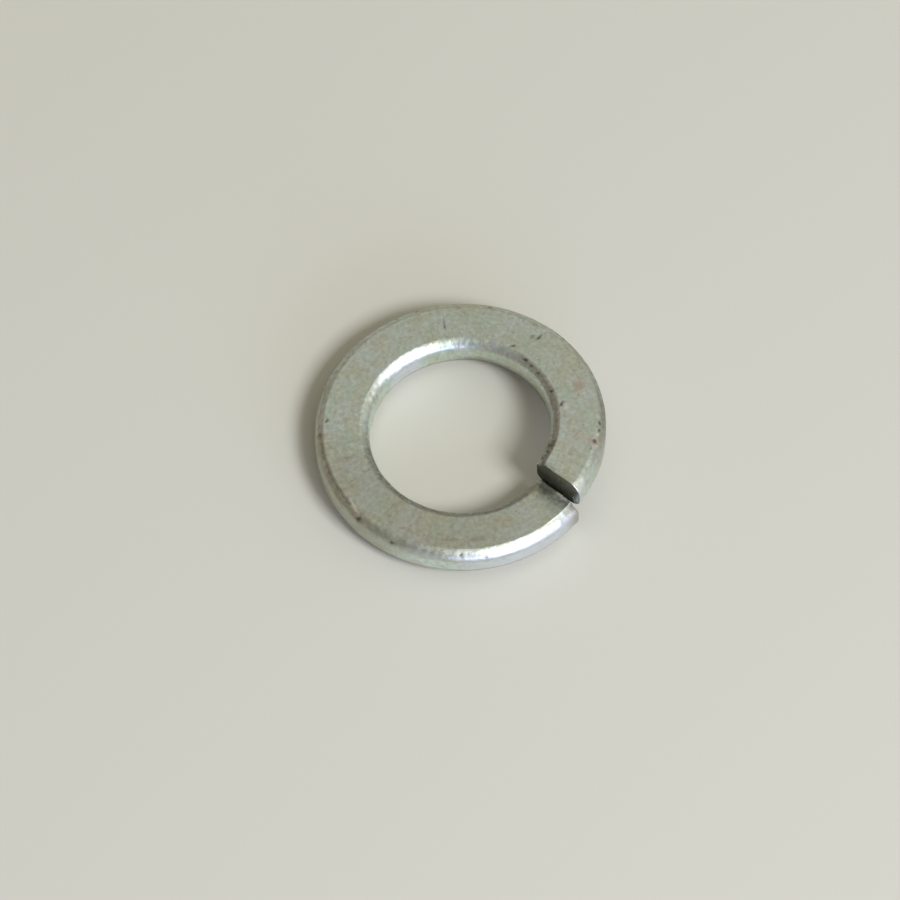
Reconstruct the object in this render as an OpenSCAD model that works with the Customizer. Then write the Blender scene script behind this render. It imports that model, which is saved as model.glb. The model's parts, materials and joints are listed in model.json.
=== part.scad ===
// Split spring lock washer: one turn of rolled steel wire, coiled left-handed and sheared through,
// then left to spring open. It is drawn as it lies on a flat surface, resting on the bore corner of
// its lower end and on the rim opposite.

/* [Wire] */
// Width of the wire, from the bore to the rim
wire_w = 1.55; // [0.9:0.05:3]
// Mean thickness of the wire
wire_t = 1.0; // [0.7:0.05:2]
// How much thicker coiling leaves the wire at the bore than at the rim
keystone = 0.06; // [0:0.01:0.2]

/* [Corners of the wire] */
// Radius of the soft edge where each flat turns into its bevel
edge_r = 0.05; // [0.02:0.01:0.1]
// Radius of the slightly crowned bevel that the rolls leave along each corner
bevel_r = 0.66; // [0.2:0.02:1]
// Slope of the bevel from the flat, at the soft edge
bevel_from = 20; // [5:1:30]
// Slope of the bevel from the flat, at the knee
bevel_to = 42; // [35:1:60]
// Radius of the knee where the bevel turns down into the wall
knee_r = 0.12; // [0.04:0.02:0.3]

/* [Coil] */
// Diameter of the bore that the screw passes through
bore_d = 5.1; // [3.5:0.1:8]
// Height that the wire climbs in one full turn
rise = 0.88; // [0.2:0.02:2]

/* [Split] */
// Gap between the two sheared ends, along the middle of the wire
split_gap = 0.04; // [0.02:0.02:0.8]
// Angle of the cut from a radial line, seen from above
cut_skew = 6.5; // [-15:0.5:15]
// Angle of the cut from upright, seen from the rim
cut_lean = 0; // [-15:0.5:15]

/* [Hidden] */
$fn = 96;
zinc_colour = [0.62, 0.63, 0.58];

// The bore and rim are true cylinders, so the coiled wire runs past both of them by wall_trim
bore_r = bore_d / 2;
rim_r = bore_r + wire_w;
mid_r = (bore_r + rim_r) / 2;
wall_trim = 0.04;
trim_share = 0.5;

// The wire is drawn as rings of its section, one every ring_step degrees or a little closer
ring_step = 4;
full_turn = 360;
climb = rise / full_turn;
half_gap_angle = full_turn * split_gap / (2 * PI * mid_r) / 2;
low_angle = half_gap_angle;
high_angle = full_turn - half_gap_angle;
ring_count = ceil((high_angle - low_angle) / ring_step);

// Half of the wire's thickness at radius r, thicker towards the bore
function half_t(r) = (wire_t + keystone * (mid_r - r) / wire_w) / 2;

// How far a corner runs out and drops from the end of its flat to the point where its slope is s
function corner_run(s) =
  let (on_bevel = min(max(s, bevel_from), bevel_to))
    edge_r * sin(min(s, bevel_from)) + bevel_r * (sin(on_bevel) - sin(bevel_from))
      + knee_r * (sin(max(s, bevel_to)) - sin(bevel_to));
function corner_drop(s) =
  let (on_bevel = min(max(s, bevel_from), bevel_to))
    edge_r * (1 - cos(min(s, bevel_from))) + bevel_r * (cos(bevel_from) - cos(on_bevel))
      + knee_r * (cos(bevel_to) - cos(max(s, bevel_to)));

// Corners on thin wire are scaled down, to stay a little under half of what they round
corner_limit = 0.45;
wall_slope = 90;
corner_scale = min(1, corner_limit * (wire_t - keystone) / corner_drop(wall_slope),
                   corner_limit * wire_w / corner_run(wall_slope));
corner_w = corner_scale * corner_run(wall_slope);
corner_h = corner_scale * corner_drop(wall_slope);

// Slopes of the points drawn on a corner. The last point lies just inside the wall.
arc_steps = 2;
last_slope = 75;
function arc_slopes(from, to) = [for (i = [1:arc_steps]) from + (to - from) * i / arc_steps];
slopes = concat([0], arc_slopes(0, bevel_from), arc_slopes(bevel_from, bevel_to),
                arc_slopes(bevel_to, last_slope));

// Points of one corner, from its flat to its wall. It runs out to the rim where side is 1 and to the
// bore where side is -1, on the upper face where face is 1 and on the lower face where face is -1.
function corner(flat_end, side, face) = [
  for (s = slopes)
    [flat_end + side * corner_scale * corner_run(s),
     face * (half_t(flat_end) - corner_scale * corner_drop(s))]
];
function back_to_front(points) = [for (i = [len(points) - 1:-1:0]) points[i]];

// The section as [radius, height above the middle of the wire], anticlockwise from the lower bore corner
bore_flat_end = bore_r + corner_w;
rim_flat_end = rim_r - corner_w;
bore_trim = [bore_r - wall_trim, (half_t(bore_flat_end) - corner_h) * trim_share];
rim_trim = [rim_r + wall_trim, (half_t(rim_flat_end) - corner_h) * trim_share];
section = concat(
  back_to_front(corner(bore_flat_end, -1, -1)),
  corner(rim_flat_end, 1, -1),
  [[rim_trim[0], -rim_trim[1]], rim_trim],
  back_to_front(corner(rim_flat_end, 1, 1)),
  corner(bore_flat_end, -1, 1),
  [bore_trim, [bore_trim[0], -bore_trim[1]]]
);
side_count = len(section);

// Angle by which the flat, slanted shear cut leads the ring's own angle at radius r and height z
function cut_lead(r, z) =
  cut_skew + asin((z * tan(cut_lean) * cos(cut_skew) - mid_r * sin(cut_skew)) / r);

// A point of the left-handed coil: it turns clockwise, seen from above, as it climbs
function coil_point(ring, p) =
  let (turn = ring + cut_lead(p[0], p[1]))
    [p[0] * cos(-turn), p[0] * sin(-turn), p[1] + climb * turn];

// Index of point j on ring i, with the last point of a ring followed by its first
function at(i, j) = i * side_count + j % side_count;

// The coil leans on two points below: the toe, which is the bore edge of the low end's flat, and the
// heel, at the rim edge of the flat half a turn further. The surface passes through the toe and is
// tangent to the rim's edge at the heel.
toe_angle = low_angle + cut_lead(bore_flat_end, -half_t(bore_flat_end));
toe_z = climb * toe_angle - half_t(bore_flat_end);
heel_z = climb * (toe_angle + full_turn / 2) - half_t(rim_flat_end);
slope_to_toe = (heel_z - toe_z) / (bore_flat_end + rim_flat_end);
slope_across = rise / (2 * PI * rim_flat_end);
surface_z = toe_z + slope_to_toe * bore_flat_end;
rest_tilt = atan(norm([slope_to_toe, slope_across]));

// One turn of the rolled wire, from the low end to the high end
module coiled_wire() {
  points = [
    for (i = [0:ring_count])
      let (ring = low_angle + (high_angle - low_angle) * i / ring_count)
        for (p = section) coil_point(ring, p)
  ];
  sides = [
    for (i = [0:ring_count - 1], j = [0:side_count - 1])
      each [
        [at(i, j), at(i + 1, j), at(i + 1, j + 1)],
        [at(i, j), at(i + 1, j + 1), at(i, j + 1)]
      ]
  ];
  low_end = [for (j = [0:side_count - 1]) at(0, j)];
  high_end = [for (j = [side_count - 1:-1:0]) at(ring_count, j)];
  polyhedron(points = points, faces = concat(sides, [low_end, high_end]));
}

// A cylinder on the coil's axis that reaches past the wire at both ends
module through_cylinder(r) {
  reach = wire_t + keystone;
  translate([0, 0, -reach])
    cylinder(r = r, h = rise + 2 * reach);
}

// Leans the coil onto its toe and heel, with its axis through the origin on the surface below
module laid_down() {
  rotate([0, 0, -toe_angle])
    rotate(a = rest_tilt, v = [-slope_across, -slope_to_toe, 0])
      rotate([0, 0, toe_angle])
        translate([0, 0, -surface_z])
          children();
}

module spring_lock_washer() {
  color(zinc_colour)
    laid_down()
      difference() {
        intersection() {
          coiled_wire();
          through_cylinder(rim_r);
        }
        through_cylinder(bore_r);
      }
}

spring_lock_washer();
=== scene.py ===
import json
import math

import bpy
import mathutils
import numpy as np
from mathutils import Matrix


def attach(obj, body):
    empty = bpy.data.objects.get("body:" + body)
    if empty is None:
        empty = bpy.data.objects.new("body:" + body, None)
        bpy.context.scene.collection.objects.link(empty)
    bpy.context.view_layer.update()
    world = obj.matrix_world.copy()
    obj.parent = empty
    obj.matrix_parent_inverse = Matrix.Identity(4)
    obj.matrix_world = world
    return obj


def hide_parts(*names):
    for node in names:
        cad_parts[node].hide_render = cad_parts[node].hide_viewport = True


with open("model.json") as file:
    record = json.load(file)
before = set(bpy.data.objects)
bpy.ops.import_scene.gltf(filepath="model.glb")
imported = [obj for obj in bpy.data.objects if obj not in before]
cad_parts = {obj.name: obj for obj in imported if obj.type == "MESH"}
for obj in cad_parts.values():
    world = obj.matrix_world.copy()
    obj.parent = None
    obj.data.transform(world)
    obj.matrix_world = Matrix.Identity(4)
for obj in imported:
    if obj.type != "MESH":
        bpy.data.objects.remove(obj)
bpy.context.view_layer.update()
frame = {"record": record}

# The washer
# One turn of rolled steel wire, coiled cold as a left-hand spring, sheared through by a blade and left
# to spring open. The rolls gave it flat faces and bevelled corners, coiling swelled its bore side, and
# barrel zinc plating covers all of it, thin and dull on the torn ends. Lengths are in millimetres.
MM = 0.001

# The wire's section, which is thicker at the bore than at the rim by KEYSTONE
WIRE_W = 1.55
WIRE_T = 1.0
KEYSTONE = 0.06

# Each corner, from its flat to its wall: a soft edge, a slightly crowned bevel and a knee
SOFT_R = 0.05
BEVEL_R = 0.50
BEVEL_FROM = math.radians(20)
BEVEL_TO = math.radians(42)
KNEE_R = 0.3

# The coil, the gap between its ends, the cut's turn from a radial line and the rounding of its edges
BORE_R = frame["record"]["mounts"][0]["dims"]["r_mm"]
RIM_R = BORE_R + WIRE_W
MID_R = (BORE_R + RIM_R) / 2
RISE = 0.88
SPLIT_GAP = 0.04
CUT_SKEW = math.radians(6.5)
EDGE_R = 0.02

# Mesh spacing: about a thirtieth of a millimetre each way, which holds the pits and keeps the piece
# under 200,000 triangles
FLAT_STEPS = 26
WALL_STEPS = 12
SOFT_STEPS = 3
BEVEL_STEPS = 9
KNEE_STEPS = 5
COIL_STEPS = 640
EDGE_STEPS = 4
END_STEPS = 12


def half_thickness(r):
    """Half of the wire's thickness at radius r: it falls in a straight line from bore to rim."""
    return (WIRE_T + KEYSTONE * (MID_R - r) / WIRE_W) / 2


def corner_profile():
    """One corner of the wire, from its flat to its wall: how far it runs out, how far it drops and its
    slope from the flat. Three arcs meet at equal slopes: the soft edge, the crowned bevel, the knee."""
    slope = np.concatenate([np.linspace(0, BEVEL_FROM, SOFT_STEPS, endpoint=False),
                            np.linspace(BEVEL_FROM, BEVEL_TO, BEVEL_STEPS, endpoint=False),
                            np.linspace(BEVEL_TO, math.pi / 2, KNEE_STEPS + 1)])
    soft = np.minimum(slope, BEVEL_FROM)
    bevel = np.clip(slope, BEVEL_FROM, BEVEL_TO)
    knee = np.maximum(slope, BEVEL_TO)
    run = (SOFT_R * np.sin(soft) + BEVEL_R * (np.sin(bevel) - math.sin(BEVEL_FROM))
           + KNEE_R * (np.sin(knee) - math.sin(BEVEL_TO)))
    drop = (SOFT_R * (1 - np.cos(soft)) + BEVEL_R * (math.cos(BEVEL_FROM) - np.cos(bevel))
            + KNEE_R * (math.cos(BEVEL_TO) - np.cos(knee)))
    return run, drop, slope


def wire_outline():
    """The wire's section as radii, heights and outward normals, run anticlockwise from the lower bore
    corner: four corners, each from its own flat's end, joined by straight flats and walls."""
    run, drop, slope = corner_profile()
    radii, heights, normals = [], [], []
    corners = [(-1, -1), (1, -1), (1, 1), (-1, 1)]
    for i, (side, face) in enumerate(corners):
        flat_end = (BORE_R if side < 0 else RIM_R) - side * run[-1]
        r = flat_end + side * run
        z = face * (half_thickness(flat_end) - drop)
        normal = np.stack([side * np.sin(slope), face * np.cos(slope)], -1)
        if i % 2 == 0:
            r, z, normal = r[::-1], z[::-1], normal[::-1]
        radii.append(r)
        heights.append(z)
        normals.append(normal)
    parts = [[], [], []]
    for i in range(4):
        ahead = (i + 1) % 4
        steps = (FLAT_STEPS, WALL_STEPS)[i % 2]
        share = np.linspace(0, 1, steps + 1)[1:-1]
        parts[0] += [radii[i], radii[i][-1] + (radii[ahead][0] - radii[i][-1]) * share]
        parts[1] += [heights[i], heights[i][-1] + (heights[ahead][0] - heights[i][-1]) * share]
        parts[2] += [normals[i], np.repeat(normals[i][-1:], steps - 1, 0)]
    return np.concatenate(parts[0]), np.concatenate(parts[1]), np.concatenate(parts[2])


def wire_rows():
    """The rows of the mesh, from the middle of the low end's face, over its edge, along the coil and
    into the middle of the high end's face. Each row has its angle along the coil, how far the outline
    draws in at the rounded edge, and how much of the outline it spans on an end face."""
    half_gap = SPLIT_GAP / 2 / MID_R
    span = np.linspace(0, 1, END_STEPS + 1)[1:]
    rounding = np.linspace(0, math.pi / 2, EDGE_STEPS + 1)[1:]
    back = np.concatenate([0 * span, EDGE_R * (1 - np.cos(rounding))])
    inset = np.concatenate([0 * span + EDGE_R, EDGE_R * (1 - np.sin(rounding))])
    fill = np.concatenate([span, 0 * rounding + 1])
    low = half_gap + back / MID_R
    high = 2 * math.pi - low[::-1]
    middle = np.linspace(low[-1], high[0], COIL_STEPS + 1)[1:-1]
    angle = np.concatenate([low, middle, high])
    inset = np.concatenate([inset, 0 * middle, inset[::-1]])
    fill = np.concatenate([fill, 0 * middle + 1, fill[::-1]])
    return angle, inset, fill


def cut_lead(r):
    """Angle by which the flat shear cut leads its row's angle at radius r."""
    return CUT_SKEW - np.arcsin(MID_R * math.sin(CUT_SKEW) / r)


def coil_points(turn, r, z):
    """Points of the coil: a section point at radius r and height z turns clockwise, seen from above,
    through the angle turn, and climbs by RISE in a full turn."""
    climb = RISE * turn / (2 * math.pi)
    return np.stack([r * np.cos(turn), -r * np.sin(turn), z + climb], -1)


def lay_down(points):
    """Leans the coil onto its toe, the bore corner of the low end, and its heel, on the rim half a
    turn further, and sets the surface that it lies on at height zero."""
    corner_w = corner_profile()[0][-1]
    toe_r = BORE_R + corner_w
    heel_r = RIM_R - corner_w
    toe_turn = SPLIT_GAP / 2 / MID_R + cut_lead(toe_r)
    toe_z = RISE * toe_turn / (2 * math.pi) - half_thickness(toe_r)
    heel_z = RISE * (toe_turn / (2 * math.pi) + 0.5) - half_thickness(heel_r)
    to_toe = (heel_z - toe_z) / (toe_r + heel_r)
    across = RISE / (2 * math.pi * heel_r)
    up = np.array([to_toe, -across, 1.0])
    up /= np.linalg.norm(up)
    axis = np.array([up[1], -up[0], 0.0])
    lean = math.asin(np.linalg.norm(axis))
    axis /= np.linalg.norm(axis)
    cross = np.array([[0, 0, axis[1]], [0, 0, -axis[0]], [-axis[1], axis[0], 0]])
    tilt = np.eye(3) + math.sin(lean) * cross + (1 - math.cos(lean)) * cross @ cross
    spin = np.array([[math.cos(toe_turn), -math.sin(toe_turn), 0],
                     [math.sin(toe_turn), math.cos(toe_turn), 0], [0, 0, 1]])
    place = spin.T @ tilt @ spin
    return (points - [0, 0, toe_z + to_toe * toe_r]) @ place.T


# Unevenness: how many waves make a field of ripples, and how far their lengths spread round its size
WAVES = 28
SHORTEST_WAVE = 0.7
LONGEST_WAVE = 1.6

# Swells of the surface as height, size and seed, and furrows that coiling drew across the wire: their
# size and seed, how fast they change along the coil, across it and upwards, their height on the flats,
# and what is added to it where the outward part of the normal has grown from nothing to COMB_LEAN
SWELLS = [(0.0022, 1.3, 3), (0.0010, 0.35, 4)]
COMB_SIZE = 0.14
COMB_SEED = 8
COMB_DRAW = [1, 0.22, 0.3]
COMB_ON_FLAT = 0.0003
COMB_ON_BEVEL = 0.0009
COMB_LEAN = 0.625

# The torn grain of the end faces, drawn out up and down, and the fray that breaks up the marks' rims
TEAR_DEPTH = 0.006
TEAR_SIZE = 0.3
TEAR_SEED = 5
TEAR_DRAW = 3
FRAY_SIZE = 0.13
FRAY_SEED = 7
FRAY_LIMIT = 1.5


def ripples(points, size, seed):
    """A smooth field of about unit height on points in millimetres: the sum of many plane waves in
    random directions, with wavelengths around size, over the root of half their number."""
    draw = np.random.default_rng(seed)
    heading = draw.normal(size=(WAVES, 3))
    heading /= np.linalg.norm(heading, axis=1)[:, None]
    rate = 2 * math.pi / (size * draw.uniform(SHORTEST_WAVE, LONGEST_WAVE, WAVES))
    phase = draw.uniform(0, 2 * math.pi, WAVES)
    return np.cos(points @ (heading * rate[:, None]).T + phase).sum(-1) * math.sqrt(2 / WAVES)


def ramp(value, start, full):
    """The share of the way from start to full in a straight line, held between zero and one."""
    return np.clip((value - start) / (full - start), 0, 1)


def smooth(share):
    """A share eased at both ends: three times its square less twice its cube."""
    return share * share * (3 - 2 * share)


def window(turn, start, end, soft):
    """One along a stretch of the coil and zero beyond it, eased over soft inside each end. The
    stretch and soft are in degrees."""
    inside = np.minimum(np.degrees(turn) - start, end - np.degrees(turn))
    return smooth(ramp(inside, 0, soft))


# Marks of wear on the upper side. Each has its place along the coil in degrees and its radius, its half
# length and half width, the degrees by which it turns outwards from the coil's direction, its depth, and
# what shows in it: a stain, rust, grime, or bare bright metal. The stain at 4 degrees, on the low end's
# top beside the split, is painted shade: the shadow that the high end casts there.
MARKS = [
    (274.0, 3.54, 0.110, 0.045, 75, 0.012, "grime_and_shade"), (271.5, 3.43, 0.120, 0.070, 70, 0.000, "stain_and_shade"),
    (266.5, 2.90, 0.090, 0.045, 60, 0.006, "grime_and_shade"), (277.5, 2.72, 0.080, 0.045, 10, 0.008, "grime_and_shade"),
    (283.0, 2.70, 0.060, 0.035, 20, 0.006, "grime_and_shade"), (289.5, 2.70, 0.070, 0.045, -15, 0.008, "grime_and_shade"),
    (305.0, 2.72, 0.070, 0.050, 25, 0.010, "grime_and_shade"), (315.5, 2.90, 0.100, 0.050, -30, 0.006, "grime_and_shade"),
    (317.5, 3.00, 0.110, 0.060, -20, -0.004, "bare"), (307.0, 3.52, 0.230, 0.200, 0, 0.000, "rust"),
    (311.5, 3.58, 0.070, 0.025, 115, -0.008, "bare"), (327.5, 3.93, 0.080, 0.035, 10, 0.008, "grime_and_shade"),
    (331.0, 3.92, 0.060, 0.035, -20, 0.007, "grime_and_shade"), (333.0, 3.90, 0.035, 0.025, 0, -0.006, "bare"),
    (337.0, 3.82, 0.170, 0.110, 50, 0.004, "rust"), (336.5, 3.84, 0.090, 0.060, 60, 0.014, "grime_and_shade"),
    (340.5, 3.80, 0.035, 0.030, 0, 0.006, "grime_and_shade"), (338.5, 3.93, 0.040, 0.025, 30, -0.006, "bare"),
    (344.5, 2.70, 0.070, 0.055, 80, 0.014, "grime_and_shade"), (228.0, 3.62, 0.080, 0.022, 60, -0.008, "bare"),
    (227.3, 3.30, 0.170, 0.022, 88, 0.004, "grime_and_shade"), (247.5, 3.93, 0.060, 0.035, 0, 0.007, "grime_and_shade"),
    (217.0, 3.96, 0.060, 0.035, 0, 0.007, "grime_and_shade"), (208.0, 3.97, 0.060, 0.035, 0, 0.006, "grime_and_shade"),
    (153.0, 3.56, 0.060, 0.040, 40, 0.010, "rust"), (148.0, 3.76, 0.070, 0.045, -30, 0.007, "grime_and_shade"),
    (147.5, 4.02, 0.060, 0.040, 0, 0.008, "rust"), (142.0, 3.94, 0.070, 0.040, 20, 0.006, "grime_and_shade"),
    (104.5, 3.87, 0.280, 0.045, -12, -0.006, "bare"), (99.5, 4.00, 0.080, 0.060, 30, 0.003, "grime_and_shade"),
    (83.0, 4.04, 0.055, 0.040, 0, 0.006, "grime_and_shade"), (44.5, 4.06, 0.055, 0.035, 0, 0.006, "grime_and_shade"),
    (54.5, 3.97, 0.060, 0.040, 40, 0.008, "grime_and_shade"), (60.0, 3.56, 0.300, 0.110, 0, 0.000, "stain_and_shade"),
    (47.0, 3.54, 0.340, 0.100, 0, 0.000, "stain_and_shade"), (128.0, 3.30, 0.160, 0.040, 80, 0.003, "stain_and_shade"),
    # The first mark below is painted shade, the high end's shadow on the low end's top
    (4.0, 2.98, 0.230, 0.260, 0, 0.000, "stain_and_shade"), (117.0, 2.95, 0.230, 0.040, 85, 0.003, "stain_and_shade"),
    (92.0, 3.10, 0.260, 0.040, 88, 0.003, "stain_and_shade"),
]

# Creases that the coiling rolls pressed along the wire: from and to in degrees, the radius, the half
# width, the depth, and how full of darkening they are: grime in the bore-side crease, painted shade in
# the dark line along the rim at the back, and plain darkening in the crease at the left
CREASES = [
    (102, 150, 3.915, 0.034, 0.012, 0.6),
    (268, 322, 2.70, 0.050, 0.010, 0.4),
    (160, 325, 4.06, 0.030, 0.003, 0.4),
]

# Where a mark ends and where it is full, in half sizes from its middle, how far the fray moves its rim
# and a crease's path, over how many degrees a crease fades in, and how patchy its grime and painted
# shade are
MARK_END = 1.4
MARK_FULL = 0.25
MARK_FRAY = 0.25
CREASE_FRAY = 0.25
CREASE_FADE = 9
GRIME_AND_SHADE_PATCHES = 0.2


def patchy(share, frayed):
    """A factor that varies with the fray by a share of itself, and is one where the fray is."""
    return 1 - share + share * frayed


def wear(turn, r, upper, frayed):
    """The marks and creases at each point: the depth that they take off, and how much stain, rust,
    grime and bare metal shows, from 0 to 1; one stain and one crease's grime are painted shade. A mark
    eases in over an ellipse with a ragged rim, and a crease is a bell curve across the wire."""
    shown = {kind: np.zeros_like(r) for kind in ("stain_and_shade", "rust", "grime_and_shade", "bare")}
    depth = np.zeros_like(r)
    for place, radius, length, width, heading, deep, kind in MARKS:
        along = (turn - math.radians(place)) * radius
        out = r - radius
        c = math.cos(math.radians(heading))
        s = math.sin(math.radians(heading))
        distance = np.hypot((along * c + out * s) / length, (out * c - along * s) / width)
        mark = smooth(ramp(distance * (1 + MARK_FRAY * frayed), MARK_END, MARK_FULL)) * upper
        depth += deep * mark
        shown[kind] = np.maximum(shown[kind], mark)
    for start, end, radius, width, deep, full in CREASES:
        wander = radius + CREASE_FRAY * width * frayed
        crease = np.exp(-((r - wander) / width) ** 2) * window(turn, start, end, CREASE_FADE) * upper
        depth += deep * crease
        shown["grime_and_shade"] = np.maximum(shown["grime_and_shade"], full * crease * patchy(GRIME_AND_SHADE_PATCHES, frayed))
    return depth, {kind: np.clip(field, 0, 1) for kind, field in shown.items()}


# What the blade did to the ends: how deep or high each feature is, how far it reaches from the cut, and
# the radii, or the outward parts of the normal, where it starts and is full, or is full and has ended
ROLL_DEPTH = 0.06
ROLL_REACH = 0.09
ROLL_RADII = (3.6, 3.1)
BURR_HEIGHT = 0.030
BURR_REACH = 0.05
BURR_FRAY = 0.5
BURR_INSIDE = (3.2, 3.5)
BURR_OUTSIDE = (3.85, 3.70)
PRESS_DEPTH = 0.055
PRESS_REACH = 1.15
PRESS_ABOVE = (0.2, 0.45)
PRESS_BELOW = (1, 2 / 3)
FLARE_HEIGHT = 0.03
FLARE_REACH = 0.4
FLARE_ON_WALL = (0.8, 1)


def torn_ends(from_low, from_high, r, normal_r, upper, frayed):
    """What the blade did to the ends, as a lift along the normal: it rolled the high end's edge over at
    the bore, left a ragged burr along the low end's edge, pressed the low end's bevel down at the rim
    and flared its wall. The first two are bell curves of the distance from the cut, and the last two
    grow with the square of the nearness to it."""
    rolled = ROLL_DEPTH * np.exp(-(from_high / ROLL_REACH) ** 2) * ramp(r, *ROLL_RADII)
    on_rim_side = ramp(r, *BURR_INSIDE) * ramp(r, *BURR_OUTSIDE)
    burr = BURR_HEIGHT * np.exp(-(from_low / BURR_REACH) ** 2) * on_rim_side * (1 + BURR_FRAY * frayed)
    on_bevel = ramp(normal_r, *PRESS_ABOVE) * ramp(normal_r, *PRESS_BELOW)
    pressed = PRESS_DEPTH * ramp(from_low, PRESS_REACH, 0) ** 2 * on_bevel
    flared = FLARE_HEIGHT * ramp(from_low, FLARE_REACH, 0) ** 2 * ramp(normal_r, *FLARE_ON_WALL)
    return (burr - rolled - pressed) * upper + flared


# Bands along the coil in which the colour is darkened or lightened: painted shade as dark lines on the
# edges and as tan on the walls, a darker rim wall to the left, and a painted bright bluish sheen on the
# walls beside the split and in the bore. Each has its level, the outward part of the normal where it
# starts and where it is full, below zero towards the bore, and its stretch of the coil: from, to and
# softness in degrees.
EDGE_SHADE_BANDS = [
    (0.62, 0.5, 0.7, 140, 345, 25),
    (0.20, -0.5, -0.7, -10, 150, 25),
    (0.60, -0.3, -0.5, -10, 150, 25),
    (0.45, -0.3, -0.5, 295, 380, 20),
    (0.50, -0.1, -0.25, 332, 380, 14),
]
DARK_WALL_BAND = [(0.45, 0.8, 0.95, 118, 190, 28)]
TAN_SHADE_BANDS = [
    (0.85, 0.55, 0.85, 66, 178, 30),
    (0.60, 0.3, 0.6, 300, 358, 18),
    (0.30, -0.4, -0.9, 240, 345, 25),
]
SHEEN_BANDS = [
    (1.0, 0.45, 0.75, 348, 390, 25),
    (1.0, 0.45, 0.75, -20, 62, 22),
    (1.0, -0.45, -0.75, 180, 214, 10),
]
SHEEN_PATCHES = 0.15

# More tan: on the upper side in front, as painted shade at the low end's rim, where it dims the
# highlight, and as tarnish underneath
FRONT_TAN = 0.5
FRONT_STRETCH = (0, 150, 40)
LOW_RIM_REACH = 0.28
LOW_RIM_LEAN = (0.3, 0.6)
UNDER_TARNISH = 0.8

# Painted shade on the lower half of the bore's wall, darkening its foot where it meets the floor, and
# the upper side's stretch that was rubbed across
BORE_FOOT_SHADE = 0.9
BORE_SHADE_STRETCH = (225, 345, 25)
RUBBED_STRETCH = (35, 165, 40)

# The part of the normal upwards, downwards or inwards, or the height, at which a side counts in full
UPPER_FULL = 0.125
UNDER_FULL = -0.25
BORE_FULL = -0.5
LOW_FULL = -0.25


def bands(table, turn, normal_r):
    """Each band of a table at each point: its level, times a ramp over the outward part of the normal,
    times its window along the coil."""
    return np.array([level * ramp(normal_r, start, full) * window(turn, *stretch)
                     for level, start, full, *stretch in table])


def painted_edge_shade(turn, normal_r, upper, frayed):
    """Painted shade on the corners, from 0 to 1: a dark line on the upper bevels and knees, along the rim
    at the back and along the bore in front and by the high end, and a darkening of the rim's wall to the
    left.
    The bands of the upper side add up, and the larger of that and the wall's darkening is broken up by the
    fray."""
    on_top = bands(EDGE_SHADE_BANDS, turn, normal_r).sum(0) * upper
    on_wall = bands(DARK_WALL_BAND, turn, normal_r)[0]
    return np.maximum(on_top, on_wall) * patchy(GRIME_AND_SHADE_PATCHES, frayed)


def tarnish_and_shade(turn, from_low, normal_r, upper, under):
    """Where the plate is painted tan: faintly on the front arc; as painted shade, faintly on the bore's far
    wall and more on the rim at the left and behind the split and at the low end's rim, as a bell curve
    from the cut; and as tarnish underneath, which was never rubbed. The largest of them holds at each
    point."""
    front = FRONT_TAN * window(turn, *FRONT_STRETCH) * upper
    low_rim_shade = np.exp(-(from_low / LOW_RIM_REACH) ** 2) * ramp(normal_r, *LOW_RIM_LEAN)
    return np.max([front, low_rim_shade, UNDER_TARNISH * under, *bands(TAN_SHADE_BANDS, turn, normal_r)], axis=0)


def sheen_paint(turn, normal_r, frayed):
    """A painted sheen, bright and bluish, from 0 to 1: the largest of its bands, on the rim's wall and knee
    beside the split and on a patch of the bore's wall across from it, broken up by the fray. It paints a
    bluish reflection."""
    return bands(SHEEN_BANDS, turn, normal_r).max(0) * patchy(SHEEN_PATCHES, frayed)


def with_poles(field):
    """A grid's values in one line, then the mean of its first row and of its last, for the poles."""
    line = field.reshape(-1, *field.shape[2:])
    return np.concatenate([line, field[0].mean(0)[None], field[-1].mean(0)[None]])


def closed_mesh(points):
    """A mesh over a grid of points that joins its last column to its first and closes its first and
    last rows with fans of triangles round a pole in the middle of each."""
    rows, columns = points.shape[:2]
    grid = np.arange(rows * columns).reshape(rows, columns)
    beside = np.roll(grid, -1, 1)
    quads = np.stack([grid[:-1], beside[:-1], beside[1:], grid[1:]], -1).reshape(-1, 4)
    first_pole = rows * columns
    low_fan = np.stack([np.full(columns, first_pole), beside[0], grid[0]], -1)
    high_fan = np.stack([np.full(columns, first_pole + 1), grid[-1], beside[-1]], -1)
    mesh = bpy.data.meshes.new("lock_washer")
    mesh.from_pydata((with_poles(points) * MM).tolist(), [],
                     quads.tolist() + low_fan.tolist() + high_fan.tolist())
    mesh.shade_smooth()
    return mesh


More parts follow.
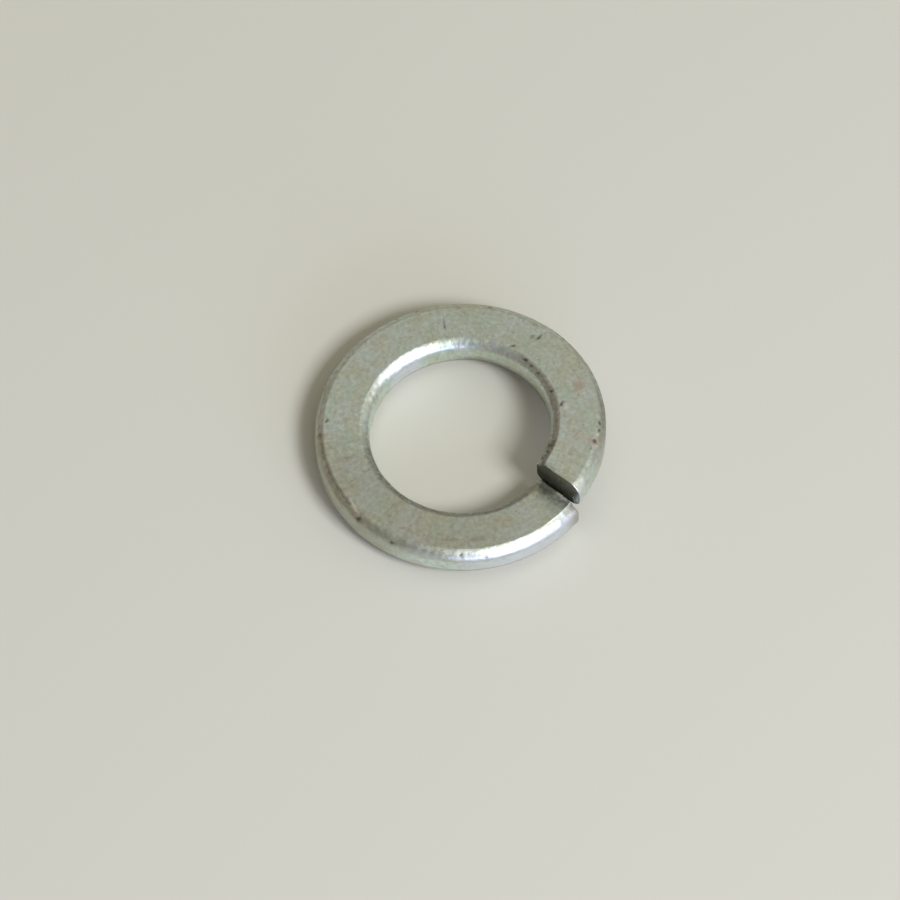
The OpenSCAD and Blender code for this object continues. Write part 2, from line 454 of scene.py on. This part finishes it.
def build_washer():
    """The washer as one closed grid: the section's outline is carried along the rows, closed by a
    point in the middle of each end face. Swells, wear and torn edges move each point along its normal,
    and the finish's fields, painted shade and sheen among them, go to the mesh as attributes."""
    radius, height, normal = wire_outline()
    angle, inset, fill = wire_rows()
    centre = np.array([MID_R, 0.0])
    edge = np.stack([radius, height], -1)[None] - inset[:, None, None] * normal[None]
    section = centre + (edge - centre) * fill[:, None, None]
    r, z = section[..., 0], section[..., 1]
    turn = angle[:, None] + cut_lead(r)
    unrolled = np.stack([turn * MID_R, r, z], -1)
    on_side = (fill == 1)[:, None]
    normal_r = np.broadcast_to(normal[None, :, 0], r.shape)
    normal_z = np.broadcast_to(normal[None, :, 1], r.shape)
    upper = ramp(normal_z, 0, UPPER_FULL)
    under = ramp(normal_z, 0, UNDER_FULL)
    from_low = (angle[:, None] - angle[0]) * MID_R
    from_high = (angle[-1] - angle[:, None]) * MID_R

    frayed = np.clip(ripples(unrolled, FRAY_SIZE, FRAY_SEED), -FRAY_LIMIT, FRAY_LIMIT)
    depth, fields = wear(turn, r, upper, frayed)
    swell = sum(high * ripples(unrolled, size, seed) for high, size, seed in SWELLS)
    comb_height = COMB_ON_FLAT + COMB_ON_BEVEL * ramp(np.abs(normal_r), 0, COMB_LEAN)
    swell = swell + comb_height * ripples(unrolled * COMB_DRAW, COMB_SIZE, COMB_SEED)
    ends = torn_ends(from_low, from_high, r, normal_r, upper, frayed)
    lift = np.where(on_side, swell - depth + ends, 0)
    r = r + lift * normal_r
    z = z + lift * normal_z
    tear = TEAR_DEPTH * ripples(np.stack([0 * r, TEAR_DRAW * r, z], -1), TEAR_SIZE, TEAR_SEED)
    outwards = np.where(from_low < from_high, -1, 1)
    torn_turn = turn + np.where(on_side, 0, outwards * tear / MID_R)
    points = lay_down(coil_points(torn_turn, r, z))
    points[..., 2] = np.maximum(points[..., 2], 0)
    mesh = closed_mesh(points)

    # Painted shade: the lower half of the bore's wall is darkened where it meets the floor
    low_bore = ramp(height, 0, LOW_FULL) * ramp(normal[:, 0], 0, BORE_FULL)
    bore_foot_shade = BORE_FOOT_SHADE * window(turn, *BORE_SHADE_STRETCH) * low_bore
    # The grime layer also takes the painted shade along the edges and at the bore's foot
    fields["grime_and_shade"] = np.max([fields["grime_and_shade"], bore_foot_shade, painted_edge_shade(turn, normal_r, upper, frayed)], axis=0)
    # The stain layer also takes the tan painted shade on the walls and at the low end's rim
    fields["stain_and_shade"] = np.maximum(fields["stain_and_shade"], tarnish_and_shade(turn, from_low, normal_r, upper, under))
    # A painted bluish sheen on some walls
    fields["painted_sheen"] = sheen_paint(turn, normal_r, frayed)
    fields["rubbed"] = window(turn, *RUBBED_STRETCH) * upper
    at_edge = ramp(np.minimum(from_low, from_high), EDGE_R, 0)
    fields["torn"] = np.broadcast_to(np.where(on_side, at_edge, 1.0), r.shape)
    for name, field in fields.items():
        values = with_poles(field).astype(np.float32)
        mesh.attributes.new(name, "FLOAT", "POINT").data.foreach_set("value", values)
    places = with_poles(unrolled).astype(np.float32).ravel()
    mesh.attributes.new("unrolled", "FLOAT_VECTOR", "POINT").data.foreach_set("vector", places)
    washer = bpy.data.objects.new("lock_washer", mesh)
    bpy.context.scene.collection.objects.link(washer)
    return washer


def linear(code):
    """A colour written as an sRGB hex code, turned to the linear red, green, blue and alpha."""
    channels = [int(code[i:i + 2], 16) / 255 for i in (0, 2, 4)]
    bent = [c / 12.92 if c <= 0.04045 else ((c + 0.055) / 1.055) ** 2.4 for c in channels]
    return (*bent, 1.0)


def add_node(tree, kind, inputs=(), **settings):
    """Adds a node to the tree, gives it its settings, and sets each named input to a value or links
    it to the socket given."""
    node = tree.nodes.new(kind)
    for name, value in settings.items():
        setattr(node, name, value)
    for name, value in dict(inputs).items():
        if isinstance(value, bpy.types.NodeSocket):
            tree.links.new(value, node.inputs[name])
        else:
            node.inputs[name].default_value = value
    return node


# Places of a colour mix's sockets, which share their names with the sockets for other kinds of value
MIX_SHARE = 0
MIX_BELOW = 6
MIX_ABOVE = 7
MIX_COLOUR = 2


def lay_over(tree, colour, layers):
    """Lays tints over a colour, one after another. Each follows a field: from low to high, its share
    grows in a straight line from nothing to its cover."""
    for field, low, high, cover, tint in layers:
        share = add_node(tree, "ShaderNodeMapRange",
                         {"Value": field, "From Min": low, "From Max": high, "To Max": cover})
        mix = add_node(tree, "ShaderNodeMix",
                       {MIX_SHARE: share.outputs["Result"], MIX_BELOW: colour, MIX_ABOVE: tint},
                       data_type="RGBA")
        colour = mix.outputs[MIX_COLOUR]
    return colour


# Colours of the plate, where it is green, bluish and olive, and of what shows on it. The tan and the
# brown also carry painted shade, and the pale bluish zinc is a painted sheen.
GREEN_ZINC = "D0DFD0"
BLUE_ZINC = "D8E3DF"
OLIVE_ZINC = "D2D6C4"
SHEEN_ZINC = "E8EAF4"
DULL_SPECK = "7C7C70"
RUBBED_STREAK = "9A9E8E"
TAN_STAIN_AND_SHADE = "968C74"
PALE_RUST = "CBB3A2"
BROWN_GRIME_AND_SHADE = "584E40"
BARE_METAL = "F2EFE4"
TORN_SHADED = "4E4F48"
TORN_LIT = "8C8D83"

# Sizes of a cell of each pattern, in millimetres: the cast that drifts over the plate, its patches, the
# crystals' mottle, the fine grain, the dull specks, and the streaks, which are drawn out across the wire.
# The crystals and the grain are drawn coarser than they are, as coarse as they need to be to show.
CAST_SIZE = 10 / 13
PATCH_SIZE = 10 / 21
MOTTLE_SIZE = 1 / 8
GRAIN_SIZE = 1 / 17
SPECK_SIZE = 1 / 9
STREAK_SIZE = 1 / 9
STREAK_DRAW = (1.0, 0.12, 0.12)
PATTERN_SHIFT = (31.0, 17.0, 5.0)

# Depth of the grain, the roughness of the plate over its patches and what the mottle adds or takes, and
# the brightness of the crystals between the mottle's usual low and high
GRAIN_DEPTH = 0.01
GRAIN_STRENGTH = 0.35
SMOOTHEST = 0.38
ROUGHEST = 0.45
MOTTLE_ROUGHNESS = 0.05
MOTTLE_LOW = 0.3
MOTTLE_HIGH = 0.7
DARKEST_CRYSTAL = 0.85
BRIGHTEST_CRYSTAL = 1.10

# Heights in the section between which a torn end turns from dark to pale: painted shade below and
# painted light above, on the dull sheared steel
TORN_DARK_BELOW = -0.1
TORN_PALE_ABOVE = 0.45


def barrel_zinc_plate():
    """Barrel zinc plate with a clear blue passivate: a satin grey metal whose cast drifts between green,
    blue and olive over a millimetre, mottled at a tenth of one, with brown grime in its pits. Painted
    shade darkens its edges and walls, a painted sheen lights some walls, and the torn ends are painted
    dark low down and pale at the top. The patterns run on the unrolled coil's millimetres, so that none is
    stretched round the bend."""
    material = bpy.data.materials.new("barrel_zinc_plate")
    material.use_nodes = True
    tree = material.node_tree
    tree.nodes.clear()
    unrolled = add_node(tree, "ShaderNodeAttribute", attribute_name="unrolled").outputs["Vector"]
    drawn = add_node(tree, "ShaderNodeVectorMath", {0: unrolled, 1: STREAK_DRAW}, operation="MULTIPLY")
    shifted = add_node(tree, "ShaderNodeVectorMath", {0: unrolled, 1: PATTERN_SHIFT}, operation="ADD")
    height = add_node(tree, "ShaderNodeSeparateXYZ", {0: unrolled}).outputs["Z"]
    shown = {}
    for name in ("stain_and_shade", "rust", "grime_and_shade", "bare", "painted_sheen", "rubbed", "torn"):
        shown[name] = add_node(tree, "ShaderNodeAttribute", attribute_name=name).outputs["Fac"]
    pattern = {}
    for name, place, size, detail in [("cast", unrolled, CAST_SIZE, 3.0),
                                      ("patch", shifted.outputs[0], PATCH_SIZE, 3.0),
                                      ("mottle", unrolled, MOTTLE_SIZE, 3.0),
                                      ("grain", shifted.outputs[0], GRAIN_SIZE, 2.0),
                                      ("speck", shifted.outputs[0], SPECK_SIZE, 2.0),
                                      ("streak", drawn.outputs[0], STREAK_SIZE, 2.0)]:
        noise = add_node(tree, "ShaderNodeTexNoise", {"Vector": place, "Scale": 1 / size, "Detail": detail})
        pattern[name] = noise.outputs["Fac"]

    zinc = lay_over(tree, linear(GREEN_ZINC), [(pattern["cast"], 0.38, 0.60, 1.0, linear(BLUE_ZINC)),
                                               (pattern["patch"], 0.42, 0.62, 0.9, linear(OLIVE_ZINC))])
    crystals = add_node(tree, "ShaderNodeMapRange",
                        {"Value": pattern["mottle"], "From Min": MOTTLE_LOW, "From Max": MOTTLE_HIGH,
                         "To Min": DARKEST_CRYSTAL, "To Max": BRIGHTEST_CRYSTAL})
    mottled = add_node(tree, "ShaderNodeMix",
                       {MIX_SHARE: 1.0, MIX_BELOW: zinc, MIX_ABOVE: crystals.outputs["Result"]},
                       data_type="RGBA", blend_type="MULTIPLY")
    streaks = add_node(tree, "ShaderNodeMapRange",
                       {"Value": pattern["streak"], "From Min": 0.5, "From Max": 0.72})
    rubbed = add_node(tree, "ShaderNodeMath", {0: shown["rubbed"], 1: streaks.outputs["Result"]},
                      operation="MULTIPLY")
    # The torn face is painted dark low down and pale at the top, as shade and light
    face = lay_over(tree, linear(TORN_SHADED), [(height, TORN_DARK_BELOW, TORN_PALE_ABOVE, 1.0,
                                              linear(TORN_LIT))])
    colour = lay_over(tree, mottled.outputs[MIX_COLOUR], [
        (pattern["speck"], 0.62, 0.74, 0.35, linear(DULL_SPECK)),
        (rubbed.outputs[0], 0.0, 1.0, 0.3, linear(RUBBED_STREAK)),
        # The next layer is a painted sheen, and the stain and grime layers carry painted shade too
        (shown["painted_sheen"], 0.0, 1.0, 0.8, linear(SHEEN_ZINC)),
        (shown["stain_and_shade"], 0.0, 1.3, 0.8, linear(TAN_STAIN_AND_SHADE)),
        (shown["rust"], 0.0, 1.0, 0.6, linear(PALE_RUST)),
        (shown["grime_and_shade"], 0.0, 1.0, 0.8, linear(BROWN_GRIME_AND_SHADE)),
        (shown["bare"], 0.0, 1.0, 1.0, linear(BARE_METAL)),
        (shown["torn"], 0.0, 1.0, 1.0, face),
    ])

    satin = add_node(tree, "ShaderNodeMapRange",
                     {"Value": pattern["patch"], "From Min": 0.35, "From Max": 0.65,
                      "To Min": SMOOTHEST, "To Max": ROUGHEST})
    fine = add_node(tree, "ShaderNodeMapRange",
                    {"Value": pattern["mottle"], "From Min": MOTTLE_LOW, "From Max": MOTTLE_HIGH,
                     "To Min": -MOTTLE_ROUGHNESS, "To Max": MOTTLE_ROUGHNESS})
    rough = add_node(tree, "ShaderNodeMath", {0: satin.outputs["Result"], 1: fine.outputs["Result"]},
                     operation="ADD")
    bump = add_node(tree, "ShaderNodeBump", {"Height": pattern["grain"], "Strength": GRAIN_STRENGTH,
                                             "Distance": GRAIN_DEPTH * MM})
    shader = add_node(tree, "ShaderNodeBsdfPrincipled",
                      {"Base Color": colour, "Metallic": 1.0, "Roughness": rough.outputs[0],
                       "Normal": bump.outputs[0]})
    add_node(tree, "ShaderNodeOutputMaterial", {"Surface": shader.outputs[0]})
    return material


washer = build_washer()
washer.data.materials.append(barrel_zinc_plate())
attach(washer, "root")
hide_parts("spring_lock_washer")

# The floor
# A plain pale board that the washer lies on, matt all over, which shows the washer's shadow. It isn't
# part of the object.
FLOOR_HALF = 0.5
FLOOR_COLOUR = "CDCCBD"
FLOOR_ROUGHNESS = 0.9
floor_mesh = bpy.data.meshes.new("floor")
floor_mesh.from_pydata([(x, y, 0) for x, y in
                        [(-FLOOR_HALF, -FLOOR_HALF), (FLOOR_HALF, -FLOOR_HALF),
                         (FLOOR_HALF, FLOOR_HALF), (-FLOOR_HALF, FLOOR_HALF)]], [], [(0, 1, 2, 3)])
floor = bpy.data.objects.new("floor", floor_mesh)
bpy.context.scene.collection.objects.link(floor)
pale_board = bpy.data.materials.new("matt_pale_board")
pale_board.use_nodes = True
board = pale_board.node_tree.nodes["Principled BSDF"]
board.inputs["Base Color"].default_value = linear(FLOOR_COLOUR)
board.inputs["Roughness"].default_value = FLOOR_ROUGHNESS
floor_mesh.materials.append(pale_board)


# The light
# Two soft windows light the washer, both a little blue: one high on the camera's right, which draws the
# bright lines on the bevels, and a wide one low down in front on the right.
def aim(azimuth, elevation):
    """The unit vector towards an azimuth, from +X, and an elevation, both in degrees."""
    a = math.radians(azimuth)
    e = math.radians(elevation)
    return np.array([math.cos(a) * math.cos(e), math.sin(a) * math.cos(e), math.sin(e)])


def soft_window(name, azimuth, elevation, distance, width, height, power, colour):
    """A rectangular lamp that faces the washer from an azimuth, an elevation and a distance in metres."""
    lamp = bpy.data.lights.new(name, "AREA")
    lamp.shape = "RECTANGLE"
    lamp.size = width
    lamp.size_y = height
    lamp.energy = power
    lamp.color = linear(colour)[:3]
    holder = bpy.data.objects.new(name, lamp)
    bpy.context.scene.collection.objects.link(holder)
    place = aim(azimuth, elevation) * distance
    holder.location = place
    holder.rotation_euler = mathutils.Vector(place).to_track_quat("Z", "Y").to_euler()


soft_window("window", azimuth=-7, elevation=48, distance=0.25, width=0.084, height=0.084,
            power=0.50, colour="F2F5FF")
soft_window("low_window", azimuth=-26, elevation=12, distance=0.25, width=0.24, height=0.10,
            power=0.42, colour="C0CCFF")

# The room round the washer fades from its low walls, warm and dim on the left and pale on the right,
# to its ceiling, dim in front and pale at the back
LEFT_WALL = "7A5E44"
RIGHT_WALL = "C8C8C8"
FRONT_CEILING = "7C786E"
BACK_CEILING = "DAD8CE"
world = bpy.data.worlds.new("room")
world.use_nodes = True
room = world.node_tree
looking = add_node(room, "ShaderNodeTexCoord").outputs["Generated"]
towards = add_node(room, "ShaderNodeSeparateXYZ", {0: looking}).outputs
low_wall = lay_over(room, linear(LEFT_WALL), [(towards["X"], -1.0, 1.0, 1.0, linear(RIGHT_WALL))])
ceiling = lay_over(room, linear(FRONT_CEILING), [(towards["Y"], -1.0, 1.0, 1.0, linear(BACK_CEILING))])
surround = lay_over(room, low_wall, [(towards["Z"], 0.0, 1.0, 1.0, ceiling)])
room.links.new(surround, room.nodes["Background"].inputs["Color"])
room.nodes["Background"].inputs["Strength"].default_value = 1.0
bpy.context.scene.world = world

# The camera
# It stands where the photograph was taken from, found by matching the washer's outline: the angles are
# in degrees, the distance is in metres, and the photograph's width and scale are in its own pixels.
CAMERA_AZIMUTH = -56.91
CAMERA_ELEVATION = 62.81
CAMERA_ROLL = 2.35
CAMERA_DISTANCE = 0.150
CAMERA_TARGET = np.array([0.072, -0.652, 1.0]) * MM
PHOTO_WIDTH = 900
PIXELS_PER_RADIAN = 5355
SENSOR_WIDTH = 36
NEAREST_SEEN = 0.01
camera = bpy.data.objects.new("camera", bpy.data.cameras.new("camera"))
camera.data.sensor_width = SENSOR_WIDTH
camera.data.lens = PIXELS_PER_RADIAN * SENSOR_WIDTH / PHOTO_WIDTH
camera.data.clip_start = NEAREST_SEEN
bpy.context.scene.collection.objects.link(camera)
back = aim(CAMERA_AZIMUTH, CAMERA_ELEVATION)
right = aim(CAMERA_AZIMUTH + 90, 0)
above = np.cross(back, right)
roll = math.radians(CAMERA_ROLL)
axes = np.eye(4)
axes[:3, 0] = math.cos(roll) * right + math.sin(roll) * above
axes[:3, 1] = -math.sin(roll) * right + math.cos(roll) * above
axes[:3, 2] = back
axes[:3, 3] = CAMERA_TARGET + CAMERA_DISTANCE * back
camera.matrix_world = mathutils.Matrix(axes.tolist())
bpy.context.scene.camera = camera
bpy.context.scene.view_settings.view_transform = "Standard"
